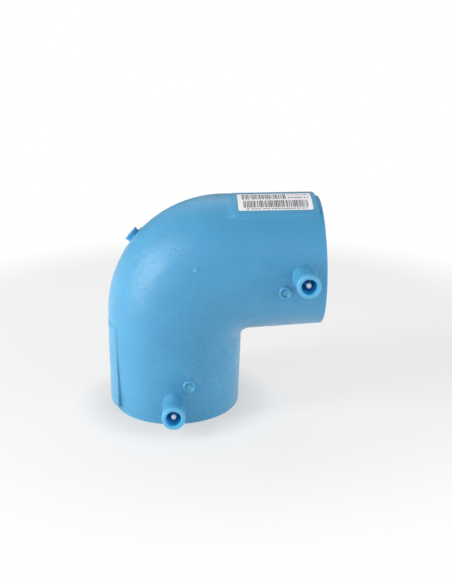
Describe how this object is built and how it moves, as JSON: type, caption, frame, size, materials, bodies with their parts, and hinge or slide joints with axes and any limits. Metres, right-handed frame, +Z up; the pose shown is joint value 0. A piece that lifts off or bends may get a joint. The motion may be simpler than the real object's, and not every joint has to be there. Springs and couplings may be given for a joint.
{
  "type": "electrofusion elbow",
  "caption": "Right-angle electrofusion elbow in blue polyethylene, with a buried heating wire in each socket and shrouded terminals, for welding water pipe.",
  "frame": {"origin": "centre of the lower socket's mouth, on the plane of its rim", "axes": "+Z up along the lower socket's axis, +X along the side socket's axis towards its mouth, -Y towards the terminals"},
  "size_m": [0.1823, 0.1395, 0.1824],
  "materials": {
    "moulding": "fine spark-eroded mould texture, light blue polyethylene",
    "terminal_metal": "tin-plated, bright",
    "wire": "drawn copper alloy resistance wire",
    "indicator": "as moulded",
    "label": "white paper label with printed bars"
  },
  "bodies": {
    "root": {"elbow_body": "moulding", "heating_wire": "wire", "terminal_pin_lower": "terminal_metal", "terminal_pin_side": "terminal_metal", "indicator_pin_lower": "indicator", "indicator_pin_side": "indicator", "label_sticker": "label"}
  },
  "joints": []
}
